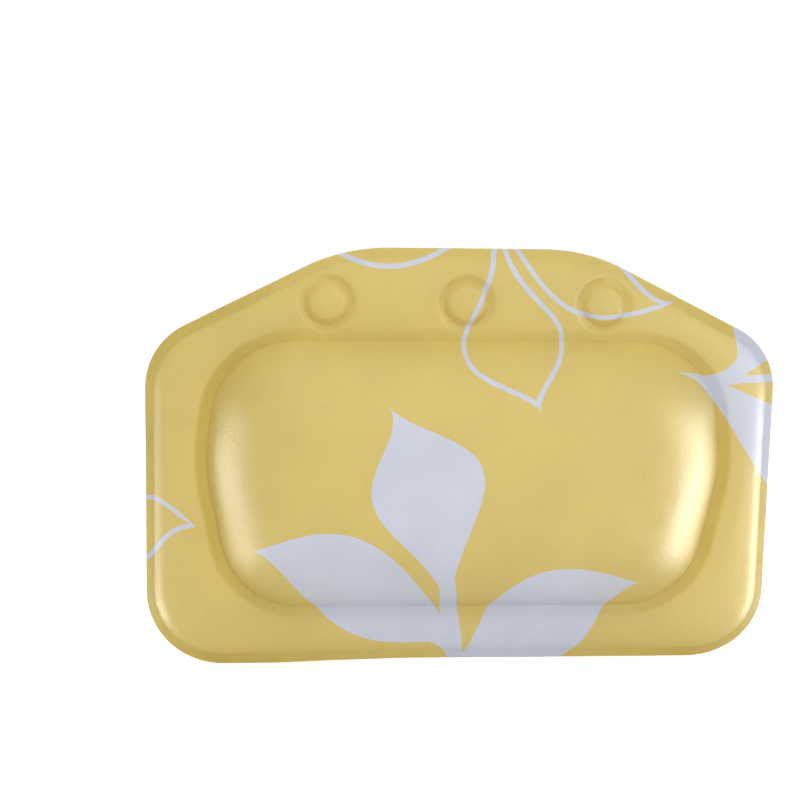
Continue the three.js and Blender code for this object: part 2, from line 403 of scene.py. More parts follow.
@dataclass(frozen=True)
class PillowSizes:
    """Sizes that the covers, the foam and the cups share, in millimetres."""

    width: float = 330.0
    height: float = 221.0
    top_width: float = 126.0
    bottom_width: float = 329.0
    shoulder_drop: float = 51.0
    top_round: float = 96.0
    shoulder_round: float = 36.0
    bottom_round: float = 40.0
    panel_side_margin: float = 26.0
    panel_bottom_margin: float = 29.0
    panel_top_taper: float = 9.0
    panel_bottom_taper: float = 16.5
    panel_widest_drop: float = 113.0
    panel_top_round: float = 47.0
    panel_top_fit: float = 0.75
    panel_side_round: float = 105.0
    panel_bottom_round: float = 45.0
    skin: float = 0.8
    bottom_flange: float = 0.6
    bottom_bow: float = 1.9
    bow_start: float = -110.0
    bow_run: float = 90.0
    bow_height: float = 40.0
    seam_y: float = -14.8
    top_z: float = 28.0
    cup_spacing: float = 72.0
    seat_radius: float = 9.4

    @property
    def bottom_z(self) -> float:
        """The height of the lower edge."""
        return self.top_z - self.height

    @property
    def seam(self) -> Outline:
        """The outline of the welded seam."""
        return Outline((
            (self.bottom_width / 2, self.bottom_z, self.bottom_round),
            (self.width / 2, self.top_z - self.shoulder_drop, self.shoulder_round),
            (self.top_width / 2, self.top_z, self.top_round),
        ))

    @property
    def padding(self) -> Outline:
        """The outline that the padded border's edge follows, drawn in along the bottom."""
        bottom, *rest = self.seam.right_corners
        return Outline(((bottom[0], bottom[1] + self.bottom_flange, bottom[2]), *rest))

    def bow(self, points: np.ndarray) -> np.ndarray:
        """Measures how far the lower edge is drawn up.

        Args:
            points: Rows of x and z.

        Returns:
            One distance for each point.
        """
        along = np.clip((points[:, 0] - self.bow_start) / self.bow_run, 0.0, 1.0)
        down = np.clip((points[:, 1] - self.bottom_z) / self.bow_height, 0.0, 1.0)
        return self.bottom_bow * eased(along) * (1.0 - down) ** 2

    def panel(self, top_z: float, shift: float) -> Outline:
        """Draws the groove round a crowned panel.

        Args:
            top_z: The height of its upper edge.
            shift: How far it is moved to the right.

        Returns:
            The groove's outline.
        """
        half_width = self.width / 2 - self.panel_side_margin
        bottom_z = self.bottom_z + self.panel_bottom_margin
        widest_z = self.top_z - self.panel_widest_drop
        top_round = min(self.panel_top_round, self.panel_top_fit * (top_z - widest_z))
        return Outline((
            (half_width - self.panel_bottom_taper, bottom_z, self.panel_bottom_round),
            (half_width, widest_z, self.panel_side_round),
            (half_width - self.panel_top_taper, top_z, top_round),
        ), shift)

    @property
    def cups(self) -> dict[str, float]:
        """The X place of each cup's axis."""
        return {"left": -self.cup_spacing, "middle": 0.0, "right": self.cup_spacing}

    def from_cup(self, points: np.ndarray) -> np.ndarray:
        """Returns each point's distance from the nearest cup's axis."""
        axes = np.array([(x, 0.0) for x in self.cups.values()])
        return np.min(np.linalg.norm(points[:, None, :] - axes[None], axis=2), axis=1)


SIZES = PillowSizes()


@dataclass(frozen=True)
class Leaf:
    """One printed leaf, with its places as X and Z in millimetres."""

    root: Point
    tip: Point
    half_width: float
    bend: float = 0.0
    lean: float = 1.0
    root_taper: float = 1.2
    tip_taper: float = 1.2
    neck: float = 0.0
    style: LeafStyle = LeafStyle.SOLID

    GROUP = "leaf_print"
    # How far inside a leaf its ink starts and is full, and the share of its length left out at its ends.
    EDGE = (0.05, 0.3)
    END = 0.001
    MIDDLE = 0.5
    STEM_TAPER = 0.12

    @staticmethod
    def peak(rise: float, fall: float) -> float:
        """Returns the highest value of a share to one power times the share left to another."""
        highest = rise / (rise + fall)
        return highest**rise * (1.0 - highest) ** fall

    @classmethod
    def group(cls) -> bpy.types.NodeTree:
        """Makes the node group that prints a leaf, or finds it.

        Returns:
            The group, whose Ink is 1 on the leaf and 0 off it.
        """
        if cls.GROUP in bpy.data.node_groups:
            return bpy.data.node_groups[cls.GROUP]
        tree = bpy.data.node_groups.new(cls.GROUP, "ShaderNodeTree")
        for name in ("Point", "Root", "Along", "Across"):
            tree.interface.new_socket(name, in_out="INPUT", socket_type="NodeSocketVector")
        for name in ("Length", "Half width", "Bend", "Lean", "Root taper", "Tip taper", "Neck", "Line"):
            tree.interface.new_socket(name, in_out="INPUT", socket_type="NodeSocketFloat")
        tree.interface.new_socket("Ink", in_out="OUTPUT", socket_type="NodeSocketFloat")
        graph = Graph(tree)
        sizes = graph.node("NodeGroupInput").outputs
        place = graph.vector("SUBTRACT", sizes["Point"], sizes["Root"])
        along = graph.math("DIVIDE", graph.vector("DOT_PRODUCT", place, sizes["Along"]), sizes["Length"])
        share = graph.math("MINIMUM", graph.math("MAXIMUM", along, cls.END), 1.0 - cls.END)
        left = graph.math("SUBTRACT", 1.0, share)
        across = graph.vector("DOT_PRODUCT", place, sizes["Across"])
        arch = graph.math("MULTIPLY", graph.math("POWER", share, sizes["Lean"]), left)
        middle = graph.math("MULTIPLY", sizes["Bend"], arch)
        off = graph.math("SUBTRACT", across, middle)
        rise = graph.math("ADD", graph.math("POWER", share, sizes["Root taper"]), sizes["Neck"])
        fall = graph.math("POWER", left, sizes["Tip taper"])
        half = graph.math("MULTIPLY", sizes["Half width"], graph.math("MULTIPLY", rise, fall))
        length = sizes["Length"]
        turn = cls.slope(graph, middle, sizes["Lean"], 1.0, share, left, length)
        flare = cls.slope(graph, half, sizes["Root taper"], sizes["Tip taper"], share, left, length)
        steep = graph.math("MULTIPLY_ADD", flare, graph.math("SIGN", off), turn)
        stretch = graph.math("SQRT", graph.math("MULTIPLY_ADD", steep, steep, 1.0))
        inside = graph.math("SUBTRACT", half, graph.math("ABSOLUTE", off))
        inside = graph.math("DIVIDE", inside, stretch)
        within = graph.math("COMPARE", along, cls.MIDDLE, cls.MIDDLE)
        outer = graph.math("MULTIPLY", within, graph.smooth(inside, *cls.EDGE))
        inner = graph.smooth(graph.math("SUBTRACT", inside, sizes["Line"]), *cls.EDGE)
        ink = graph.math("SUBTRACT", outer, inner)
        graph.feed(graph.node("NodeGroupOutput").inputs["Ink"], ink)
        return tree

    @staticmethod
    def slope(
        graph: Graph, value: Socket, rise: Value, fall: Value,
        share: Socket, left: Socket, length: Socket,
    ) -> Socket:
        """Finds how steeply a tapered value changes along a leaf.

        Args:
            graph: The leaf's group.
            value: The value, which goes with share to the power rise and left to the power fall.
            rise: The power from the root.
            fall: The power towards the tip.
            share: The share of the leaf's length from its root.
            left: The share that is left to its tip.
            length: The leaf's length.

        Returns:
            The change in the value for each millimetre along the leaf.
        """
        growth = graph.math("DIVIDE", rise, share)
        change = graph.math("SUBTRACT", growth, graph.math("DIVIDE", fall, left))
        return graph.math("DIVIDE", graph.math("MULTIPLY", value, change), length)

    def ink(self, graph: Graph, point: Socket) -> Socket:
        """Prints this leaf.

        Args:
            graph: The material that it is printed in.
            point: X and Z on the cover, in millimetres.

        Returns:
            1 on the leaf and 0 off it.
        """
        along = Vector(self.tip) - Vector(self.root)
        length = along.length
        along.normalize()
        fullness = self.peak(self.root_taper, self.tip_taper)
        node = graph.node("ShaderNodeGroup", node_tree=self.group())
        values = {
            "Point": point,
            "Root": (*self.root, 0.0),
            "Along": (along.x, along.y, 0.0),
            "Across": (-along.y, along.x, 0.0),
            "Length": length,
            "Half width": self.half_width / fullness,
            "Bend": self.bend / self.peak(self.lean, 1.0),
            "Lean": self.lean,
            "Root taper": self.root_taper,
            "Tip taper": self.tip_taper,
            "Neck": self.neck * fullness / self.half_width,
            "Line": self.style.value,
        }
        for name, value in values.items():
            graph.feed(node.inputs[name], value)
        return node.outputs["Ink"]


def stem(root: Point, tip: Point, half_width: float, bend: float = 0.0) -> Leaf:
    """Returns a stem, which is a leaf of almost even width."""
    return Leaf(root, tip, half_width, bend, root_taper=Leaf.STEM_TAPER, tip_taper=Leaf.STEM_TAPER)


def line_leaf(root: Point, tip: Point, half_width: float, **shape: float) -> Leaf:
    """Returns a leaf that is printed as its outline only."""
    return Leaf(root, tip, half_width, style=LeafStyle.LINE, **shape)


FRONT_LEAVES = (
    Leaf((8.0, -212.6), (-43.8, -47.2), 29.7, bend=-8.9, lean=2.8, root_taper=7.0, tip_taper=2.8),
    stem((0.2, -200.0), (-9.4, -139.0), 4.8),
    Leaf((-4.5, -193.5), (-23.0, -180.0), 3.7, bend=-8.0, root_taper=1.0, tip_taper=1.0),
    Leaf((2.1, -181.0), (-110.3, -127.2), 25.6, bend=-9.4, lean=3.3, root_taper=1.42, tip_taper=1.28),
    Leaf((2.3, -187.6), (94.0, -145.0), 27.4, bend=5.5, lean=4.0, root_taper=1.34, tip_taper=1.51),
    Leaf((-3.0, -189.8), (46.0, -194.5), 3.6, root_taper=0.35, tip_taper=0.7),
    line_leaf((8.5, 80.0), (37.8, -54.3), 27.1, bend=-5.9, lean=2.2, root_taper=7.0, tip_taper=2.44,
              neck=7.0),
    line_leaf((-62.7, 112.0), (112.9, 2.1), 20.8, bend=-17.1, lean=4.3, root_taper=4.0, tip_taper=1.63),
    line_leaf((-86.0, 35.0), (4.0, 35.0), 17.5),
    line_leaf((-168.8, -133.5), (-138.7, -117.8), 13.1, bend=13.8, lean=1.25, root_taper=0.61,
              tip_taper=0.84),
    Leaf((279.0, -151.2), (103.2, -33.7), 24.6, bend=-7.8, lean=6.6, root_taper=1.39, tip_taper=1.91),
    Leaf((134.0, -37.4), (150.5, -35.3), 1.6, root_taper=0.6, tip_taper=0.8),
    Leaf((126.0, -40.5), (147.5, -40.5), 1.8, root_taper=0.5, tip_taper=0.7),
    stem((131.0, -38.6), (178.0, -38.8), 2.2),
    Leaf((133.0, -38.0), (158.0, 14.0), 17.7, bend=-11.5, lean=0.5, root_taper=1.7, tip_taper=0.8),
    Leaf((124.0, -37.5), (146.0, -22.0), 3.0, bend=-7.6, root_taper=1.0, tip_taper=1.0),
)

BACK_LEAVES = (
    Leaf((-1.0, 2.0), (88.0, 22.0), 18.0, bend=13.0, root_taper=1.9),
    Leaf((-6.0, 3.0), (-66.0, 44.0), 17.0, bend=-3.0, root_taper=1.7),
    stem((8.5, 9.0), (-36.0, -35.0), 2.4, bend=3.0),
    Leaf((-34.5, -33.0), (-60.0, -73.0), 2.4, bend=-1.0, root_taper=0.2, tip_taper=0.9),
    line_leaf((-113.0, -45.0), (-140.0, -6.0), 8.0, bend=4.0),
    line_leaf((-113.0, -45.0), (-176.0, -26.0), 10.0, bend=-2.0),
    line_leaf((-111.0, -45.0), (-176.0, -92.0), 14.0, bend=-9.0),
    stem((118.0, -70.0), (88.0, -102.0), 2.6),
    Leaf((99.0, -91.3), (66.0, -101.5), 4.3),
    Leaf((94.0, -96.0), (24.0, -150.0), 24.0, bend=-7.0, lean=2.0, root_taper=1.5, tip_taper=1.4),
    Leaf((92.0, -98.0), (46.0, -60.0), 17.0, bend=5.0, lean=2.0, root_taper=1.5, tip_taper=1.4),
    line_leaf((92.0, -112.0), (140.0, -204.0), 19.0, bend=9.0),
    line_leaf((-60.0, -75.0), (-112.0, -150.0), 21.0, bend=7.0, lean=2.0, root_taper=1.6, tip_taper=1.5),
    stem((-36.0, -35.0), (-62.0, -78.0), 1.3, bend=-2.0),
    Leaf((-20.0, -199.0), (-72.0, -150.0), 18.0, bend=5.0, lean=2.0),
)


@dataclass(frozen=True)
class PrintedVinyl:
    """Soft vinyl sheet with a fine leather grain, a leaf print and painted shade along its pressed welds.
    """

    name: str
    ground: Colour
    leaves: tuple[Leaf, ...]
    ink: Colour = (0.555, 0.58, 0.675, 1.0)
    clouds: Mottle = Mottle(26.0, Detail.MANY, (0.3, 0.7), (0.965, 1.03))
    specks: Mottle = Mottle(1500.0, Detail.SOME, (0.25, 0.75), (0.97, 1.025))
    roughness: Mottle = Mottle(420.0, Detail.SOME, (0.3, 0.7), (0.44, 0.56))
    specular: float = 0.5
    # Painted shade at the welds: the colour there is made darker and deeper, standing for the shade that
    # falls on the seam, the groove and the rings.
    weld_painted_shade: float = 0.86
    weld_painted_saturation: float = 1.06
    weld_roughness: float = 0.25
    grain_scale: float = 1250.0
    grain_height: float = 0.19
    grain_strength: float = 0.6
    pore_scale: float = 2375.0
    pore_share: float = 0.8
    seed: float = 3.0

    def material(self) -> bpy.types.Material:
        """Makes the finish.

        Returns:
            A material on Object coordinates.
        """
        graph = FinishGraph(self.name)
        parts = graph.millimetres()
        point = graph.fed("ShaderNodeCombineXYZ", {"X": parts["X"], "Y": parts["Z"]}).outputs[0]
        printed = 0.0
        for leaf in self.leaves:
            printed = graph.math("MAXIMUM", leaf.ink(graph, point), printed)
        colours = graph.mixed(printed, self.ground, self.ink)
        # The pressed welds get painted shade in the colour, darker and deeper, and a rougher sheen.
        welds = graph.node("ShaderNodeAttribute", attribute_name=Cover.PRESSED_AND_PAINTED_SHADE).outputs["Fac"]
        tones = [mottle.value(graph, self.seed) for mottle in (self.clouds, self.specks)]
        # Painted shade: the colour darkens where the welds are pressed.
        darker = graph.smooth(welds, 0.0, 1.0, 1.0, self.weld_painted_shade)
        mottle_and_painted_shade = graph.math("MULTIPLY", graph.math("MULTIPLY", *tones), darker)
        depth = graph.smooth(welds, 0.0, 1.0, 1.0, self.weld_painted_saturation)
        inputs = {"Color": colours, "Value": mottle_and_painted_shade, "Saturation": depth}
        graph.dress("Base Color", graph.fed("ShaderNodeHueSaturation", inputs).outputs["Color"])
        scuffs = self.roughness.value(graph, self.seed + 1.0)
        graph.dress("Roughness", graph.math("MULTIPLY_ADD", welds, self.weld_roughness, scuffs))
        graph.dress("Specular IOR Level", self.specular)
        graph.bump(self.grain(graph), self.grain_strength, self.grain_height)
        return graph.material

    def grain(self, graph: FinishGraph) -> Socket:
        """Makes the leather grain.

        Args:
            graph: The finish.

        Returns:
            The grain's relief.
        """
        cells = graph.fed("ShaderNodeTexVoronoi", {"Vector": graph.place, "Scale": self.grain_scale})
        pores = graph.noise(graph.place, self.pore_scale, Detail.MANY, self.seed + 2.0)
        fine = graph.math("MULTIPLY", pores, self.pore_share)
        return graph.math("ADD", cells.outputs["Distance"], fine)


@dataclass(frozen=True)
class SoftClearVinyl:
    """Soft clear or milky vinyl, as of a suction cup, whose middle has a painted colour: for the cups,
    the yellow cover as it would be seen through the clear vinyl.
    """

    name: str
    rim: Colour
    middle: Colour
    clear: float
    spread: Span = (3.8, 6.8)
    haze: Mottle = Mottle(140.0, Detail.MANY, (0.35, 0.65), (0.93, 1.0))
    roughness: Mottle = Mottle(600.0, Detail.MANY, (0.35, 0.7), (0.1, 0.2))
    refraction: float = 1.5
    ripple_scale: float = 320.0
    ripple_height: float = 0.05
    ripple_strength: float = 0.3
    seed: float = 11.0

    def material(self) -> bpy.types.Material:
        """Makes the finish.

        Returns:
            A material on Object coordinates.
        """
        graph = FinishGraph(self.name)
        parts = graph.millimetres()
        # Painted see-through: the middle round each cup's axis takes the cover's yellow, standing for the
        # cover seen through the clear vinyl.
        aside = graph.math("WRAP", parts["X"], SIZES.cup_spacing / 2, -SIZES.cup_spacing / 2)
        square = graph.math("MULTIPLY_ADD", aside, aside, graph.math("MULTIPLY", parts["Z"], parts["Z"]))
        share = graph.smooth(graph.math("SQRT", square), *self.spread)
        colours = graph.mixed(share, self.middle, self.rim)
        inputs = {"Color": colours, "Value": self.haze.value(graph, self.seed)}
        graph.dress("Base Color", graph.fed("ShaderNodeHueSaturation", inputs).outputs["Color"])
        graph.dress("Roughness", self.roughness.value(graph, self.seed + 1.0))
        graph.dress("Transmission Weight", self.clear)
        graph.dress("IOR", self.refraction)
        ripple = graph.noise(graph.place, self.ripple_scale, Detail.SOME, self.seed + 2.0)
        graph.bump(ripple, self.ripple_strength, self.ripple_height)
        return graph.material


@dataclass(frozen=True)
class OpenFoam:
    """Pale open-cell foam."""

    name: str = "open_cell_foam"
    light: Colour = (0.9, 0.85, 0.68, 1.0)
    dark: Colour = (0.72, 0.63, 0.42, 1.0)
    cell_scale: float = 900.0
    cell_walls: Span = (0.15, 0.7)
    cell_depth: float = 0.4
    cell_strength: float = 0.8
    tone_scale: float = 60.0
    roughness: float = 0.95
    seed: float = 21.0

    def material(self) -> bpy.types.Material:
        """Makes the finish.

        Returns:
            A material on Object coordinates.
        """
        graph = FinishGraph(self.name)
        cells = graph.fed("ShaderNodeTexVoronoi", {"Vector": graph.place, "Scale": self.cell_scale})
        walls = graph.smooth(cells.outputs["Distance"], *self.cell_walls)
        patches = graph.noise(graph.place, self.tone_scale, Detail.SOME, self.seed)
        tone = graph.math("MULTIPLY", walls, patches)
        graph.dress("Base Color", graph.mixed(tone, self.light, self.dark))
        graph.dress("Roughness", self.roughness)
        graph.bump(walls, self.cell_strength, self.cell_depth)
        return graph.material


class GeometryTree:
    """A Geometry Nodes tree with named sizes, run once for each piece that it makes."""

    def __init__(self, name: str, sizes: Sequence[str]) -> None:
        """Starts the tree.

        Args:
            name: The tree's name.
            sizes: The names of its inputs besides the geometry and the material.
        """
        self.tree = bpy.data.node_groups.new(name, "GeometryNodeTree")
        self.graph = Graph(self.tree)
        self.identifiers: dict[str, str] = {}
        self.tree.interface.new_socket("Geometry", in_out="INPUT", socket_type="NodeSocketGeometry")
        kinds = {name: "NodeSocketFloat" for name in sizes} | {"Material": "NodeSocketMaterial"}
        for size, kind in kinds.items():
            socket = self.tree.interface.new_socket(size, in_out="INPUT", socket_type=kind)
            self.identifiers[size] = socket.identifier
        self.tree.interface.new_socket("Geometry", in_out="OUTPUT", socket_type="NodeSocketGeometry")
        self.inputs = self.graph.node("NodeGroupInput").outputs

    def end(self, geometry: Socket) -> None:
        """Closes the tree with smooth shading, real geometry and the piece's material.

        Args:
            geometry: What the tree has made.
        """
        smooth = self.graph.fed("GeometryNodeSetShadeSmooth", {"Geometry": geometry})
        real = self.graph.fed("GeometryNodeRealizeInstances", {"Geometry": smooth.outputs[0]})
        dressed = self.graph.fed("GeometryNodeSetMaterial", {
            "Geometry": real.outputs[0], "Material": self.inputs["Material"],
        })
        self.graph.feed(self.graph.node("NodeGroupOutput").inputs[0], dressed.outputs[0])

    def run(self, piece: bpy.types.Object, values: dict[str, object]) -> None:
        """Puts the tree's result in a piece as a plain mesh.

        Args:
            piece: The object whose mesh goes into the tree.
            values: The tree's sizes and material by name.
        """
        modifier = piece.modifiers.new(self.tree.name, "NODES")
        modifier.node_group = self.tree
        for name, value in values.items():
            modifier[self.identifiers[name]] = value
        mesh = evaluated_mesh(piece)
        piece.modifiers.remove(modifier)
        flat = piece.data
        piece.data = mesh
        bpy.data.meshes.remove(flat)


class SheetForm(GeometryTree):
    """The press that forms a flat vinyl sheet by its points' distances from the seam, panel and cups."""

    SIZES = (
        "Side", "Seam Y", "Rim", "Flange", "Roll", "Border", "Border swell",
        "Groove shoulder", "Groove depth", "Crown start", "Crown", "Crown run",
        "Ring radius", "Ring half width", "Ring depth", "Seat swell",
        "Curl", "Wander", "Pucker",
    )
    SEAM_GAP = "from_seam"
    PANEL_GAP = "in_panel"
    CUP_GAP = "from_cup"
    PRESS = "press"
    ROLL_POWER = 1.3
    CROWN_POWER = 2.5
    GROOVE_POWER = 0.9
    SWELL_REACH = 15.0
    # Where a pull starts and ends beside its line, and its strength at both.
    GROOVE_PULL = (0.0, 16.0, 1.0, 0.25)
    RING_PULL = (10.0, 24.0, 0.9, 0.0)
    PULL_SCALE = 75.0
    WAVE_SCALE = 22.0
    WAVE_REACH = (2.0, 22.0)
    CURL_REACH = 5.5
    CURL_POWER = 1.5
    SEED = 5.0

    def __init__(self) -> None:
        """Builds the tree."""
        super().__init__("formed_sheet", self.SIZES)
        graph, sizes = self.graph, self.inputs
        stored = (self.SEAM_GAP, self.PANEL_GAP, self.CUP_GAP, self.PRESS)
        seam, panel, cup, press = (self.stored(name) for name in stored)
        depth = graph.math("ADD", self.border(seam, panel, press), self.crown(panel))
        depth = graph.math("ADD", depth, self.pockets(cup))
        place = graph.node("GeometryNodeInputPosition").outputs[0]
        depth = graph.math("ADD", depth, self.puckers(place, panel, cup))
        forward = graph.math("MULTIPLY", depth, graph.math("MULTIPLY", sizes["Side"], -1.0))
        forward = graph.math("ADD", forward, sizes["Seam Y"])
        forward = graph.math("ADD", forward, self.wander(place, seam))
        offset = graph.fed("ShaderNodeCombineXYZ", {"Y": graph.math("MULTIPLY", forward, MM)})
        formed = graph.fed("GeometryNodeSetPosition", {
            "Geometry": sizes["Geometry"], "Offset": offset.outputs[0],
        })
        self.end(formed.outputs[0])

    def stored(self, name: str) -> Socket:
        """Returns a distance that is stored on the sheet's points."""
        node = self.graph.fed("GeometryNodeInputNamedAttribute", {"Name": name}, data_type="FLOAT")
        return next(socket for socket in node.outputs if socket.enabled)

    def border(self, seam: Socket, panel: Socket, press: Socket) -> Socket:
        """Forms the flange, the rolled edge, the padded border and the groove.

        Args:
            seam: Distance from the seam.
            panel: Distance inside the panel.
            press: The share of its depth that the groove is pressed to.

        Returns:
            The depth in front of the seam.
        """
        graph, sizes = self.graph, self.inputs
        past = graph.math("SUBTRACT", seam, sizes["Flange"])
        share = graph.math("DIVIDE", past, sizes["Roll"], clamp=True)
        left = graph.math("SUBTRACT", 1.0, share)
        roll = graph.math("SUBTRACT", 1.0, graph.math("POWER", left, self.ROLL_POWER))
        height = graph.math("SUBTRACT", sizes["Border"], sizes["Rim"])
        level = graph.math("MULTIPLY_ADD", height, roll, sizes["Rim"])
        room = graph.math("MINIMUM", past, graph.math("MULTIPLY", panel, -1.0))
        swell = graph.math("MULTIPLY", graph.smooth(room, 0.0, self.SWELL_REACH), sizes["Border swell"])
        within = graph.math("ADD", panel, sizes["Groove shoulder"])
        fall = graph.math("ADD", sizes["Groove shoulder"], sizes["Crown start"])
        slope = graph.math("POWER", graph.math("DIVIDE", within, fall, clamp=True), self.GROOVE_POWER)
        groove = graph.math("MULTIPLY", graph.math("MULTIPLY", slope, press), sizes["Groove depth"])
        return graph.math("SUBTRACT", graph.math("ADD", level, swell), groove)

    def crown(self, panel: Socket) -> Socket:
        """Forms the crowned panel, steep at its groove and flat in its middle.

        Args:
            panel: Distance inside the panel.

        Returns:
            The depth above the groove.
        """
        graph, sizes = self.graph, self.inputs
        within = graph.math("SUBTRACT", panel, sizes["Crown start"])
        run = graph.math("SUBTRACT", sizes["Crown run"], sizes["Crown start"])
        share = graph.math("DIVIDE", within, run, clamp=True)
        fall = graph.math("POWER", graph.math("SUBTRACT", 1.0, share), self.CROWN_POWER)
        floor = graph.math("SUBTRACT", sizes["Border"], sizes["Groove depth"])
        height = graph.math("SUBTRACT", sizes["Crown"], floor)
        return graph.math("MULTIPLY", height, graph.math("SUBTRACT", 1.0, fall))

    def pockets(self, cup: Socket) -> Socket:
        """Forms the pressed ring and the round seat at each cup.

        Args:
            cup: Distance from the nearest cup's axis.

        Returns:
            The depth above the border.
        """
        graph, sizes = self.graph, self.inputs
        aside = graph.math("ABSOLUTE", graph.math("SUBTRACT", cup, sizes["Ring radius"]))
        ring = graph.smooth(aside, 0.0, sizes["Ring half width"], sizes["Ring depth"], 0.0)
        share = graph.math("DIVIDE", cup, sizes["Ring radius"], clamp=True)
        dome = graph.math("SUBTRACT", 1.0, graph.math("MULTIPLY", share, share))
        return graph.math("MULTIPLY_ADD", dome, sizes["Seat swell"], graph.math("MULTIPLY", ring, -1.0))

    def puckers(self, place: Socket, panel: Socket, cup: Socket) -> Socket:
        """Makes the small uneven pulls of the sheet beside its pressed lines.

        Args:
            place: Points of the sheet, in metres.
            panel: Distance inside the panel.
            cup: Distance from the nearest cup's axis.

        Returns:
            The depth that the pulls add.
        """
        graph, sizes = self.graph, self.inputs
        near_groove = graph.smooth(graph.math("ABSOLUTE", panel), *self.GROOVE_PULL)
        near_ring = graph.smooth(cup, *self.RING_PULL)
        waves = graph.noise(place, self.PULL_SCALE, Detail.FEW, self.SEED)
        pull = graph.math("SUBTRACT", waves, graph.NOISE_MEAN)
        amount = graph.math("MULTIPLY", graph.math("MAXIMUM", near_groove, near_ring), sizes["Pucker"])
        return graph.math("MULTIPLY", pull, amount)

    def wander(self, place: Socket, seam: Socket) -> Socket:
        """Makes the backward curl and the slow waves of the thin seam, the same for both covers.

        Args:
            place: Points of the sheet, in metres.
            seam: Distance from the seam.

        Returns:
            The shift along Y.
        """
        graph, sizes = self.graph, self.inputs
        waves = graph.noise(place, self.WAVE_SCALE, Detail.FEW, self.SEED + 1.0)
        wave = graph.math("SUBTRACT", waves, graph.NOISE_MEAN)
        near = graph.smooth(seam, *self.WAVE_REACH, sizes["Wander"], 0.0)
        edge = graph.math("SUBTRACT", 1.0, graph.math("DIVIDE", seam, self.CURL_REACH, clamp=True))
        curl = graph.math("MULTIPLY", graph.math("POWER", edge, self.CURL_POWER), sizes["Curl"])
        return graph.math("MULTIPLY_ADD", wave, near, curl)


class CupForm(GeometryTree):
    """The lathe that turns a cup's profile about its axis."""

    GRID_HALF = 0.5

    def __init__(self) -> None:
        """Builds the tree."""
        super().__init__("turned_cup", ("Axis X", "Facets"))
        graph, sizes = self.graph, self.inputs
        domain = graph.fed("GeometryNodeAttributeDomainSize", {"Geometry": sizes["Geometry"]})
        count = domain.outputs["Point Count"]
        across = graph.math("ADD", sizes["Facets"], 1.0)
        grid = graph.fed("GeometryNodeMeshGrid", {
            "Size X": 1.0, "Size Y": 1.0, "Vertices X": count, "Vertices Y": across,
        })
        place = graph.node("GeometryNodeInputPosition").outputs[0]
        parts = graph.fed("ShaderNodeSeparateXYZ", {"Vector": place}).outputs
        last = graph.math("SUBTRACT", count, 1.0)
        step = graph.math("MULTIPLY", graph.math("ADD", parts["X"], self.GRID_HALF), last)
        turn = graph.math("MULTIPLY", graph.math("ADD", parts["Y"], self.GRID_HALF), 2 * math.pi)
        sample = graph.node("GeometryNodeSampleIndex", data_type="FLOAT_VECTOR", domain="POINT")
        graph.feed(sample.inputs["Geometry"], sizes["Geometry"])
        graph.feed(sample.inputs["Index"], graph.math("ROUND", step))
        value = next(socket for socket in sample.inputs if socket.name == "Value" and socket.enabled)
        graph.feed(value, place)
        profile = next(socket for socket in sample.outputs if socket.enabled)
        drawn = graph.fed("ShaderNodeSeparateXYZ", {"Vector": profile}).outputs
        out = graph.math("MULTIPLY_ADD", drawn["X"], graph.math("COSINE", turn), sizes["Axis X"])
        up = graph.math("MULTIPLY", drawn["X"], graph.math("SINE", turn))
        point = graph.fed("ShaderNodeCombineXYZ", {"X": out, "Y": drawn["Y"], "Z": up})
        turned = graph.fed("GeometryNodeSetPosition", {
            "Geometry": grid.outputs["Mesh"], "Position": point.outputs[0],
        })
        inputs = {"Geometry": turned.outputs[0], "Distance": TINY}
        closed = graph.fed("GeometryNodeMergeByDistance", inputs)
        self.end(closed.outputs[0])


@dataclass(frozen=True)
class Inflation:
    """A short cloth simulation that lets the air and foam behind a formed sheet push it out."""

    pressure: float = 4.0
    frames: int = 20
    cap: float = 2.5
    stiffness: float = 30.0
    bending: float = 4.0
    mass: float = 0.3

    def swell(self, sheet: bpy.types.Object, pinned: np.ndarray) -> None:
        """Runs the simulation and keeps its result in the sheet's mesh.

        Args:
            sheet: The formed sheet, its faces pointing outwards.
            pinned: Which of its points the welds hold.
        """
        rest = coordinates(sheet.data)
        welds = sheet.vertex_groups.new(name="welds")
        welds.add([int(index) for index in np.flatnonzero(pinned)], 1.0, "REPLACE")
        cloth = sheet.modifiers.new("swell", "CLOTH")
        settings = cloth.settings
        settings.vertex_group_mass = welds.name
        settings.mass = self.mass
        settings.tension_stiffness = settings.compression_stiffness = self.stiffness
        settings.shear_stiffness = self.stiffness
        settings.bending_stiffness = self.bending
        settings.use_pressure = True
        settings.uniform_pressure_force = self.pressure
        settings.effector_weights.gravity = 0.0
        scene = bpy.context.scene
        for number in range(1, self.frames + 1):
            scene.frame_set(number)
        swollen = evaluated_mesh(sheet)
        move = coordinates(swollen) - rest
        bpy.data.meshes.remove(swollen)
        sheet.modifiers.remove(cloth)
        sheet.vertex_groups.clear()
        scene.frame_set(1)
        length = np.linalg.norm(move, axis=1, keepdims=True)
        limit = self.cap * MM
        held = limit * np.tanh(length / limit) / np.maximum(length, TINY * MM)
        sheet.data.vertices.foreach_set("co", (rest + move * held).ravel())
        LOG.info("%s: swells by up to %.2f mm", sheet.name, float((length * held).max()) / MM)


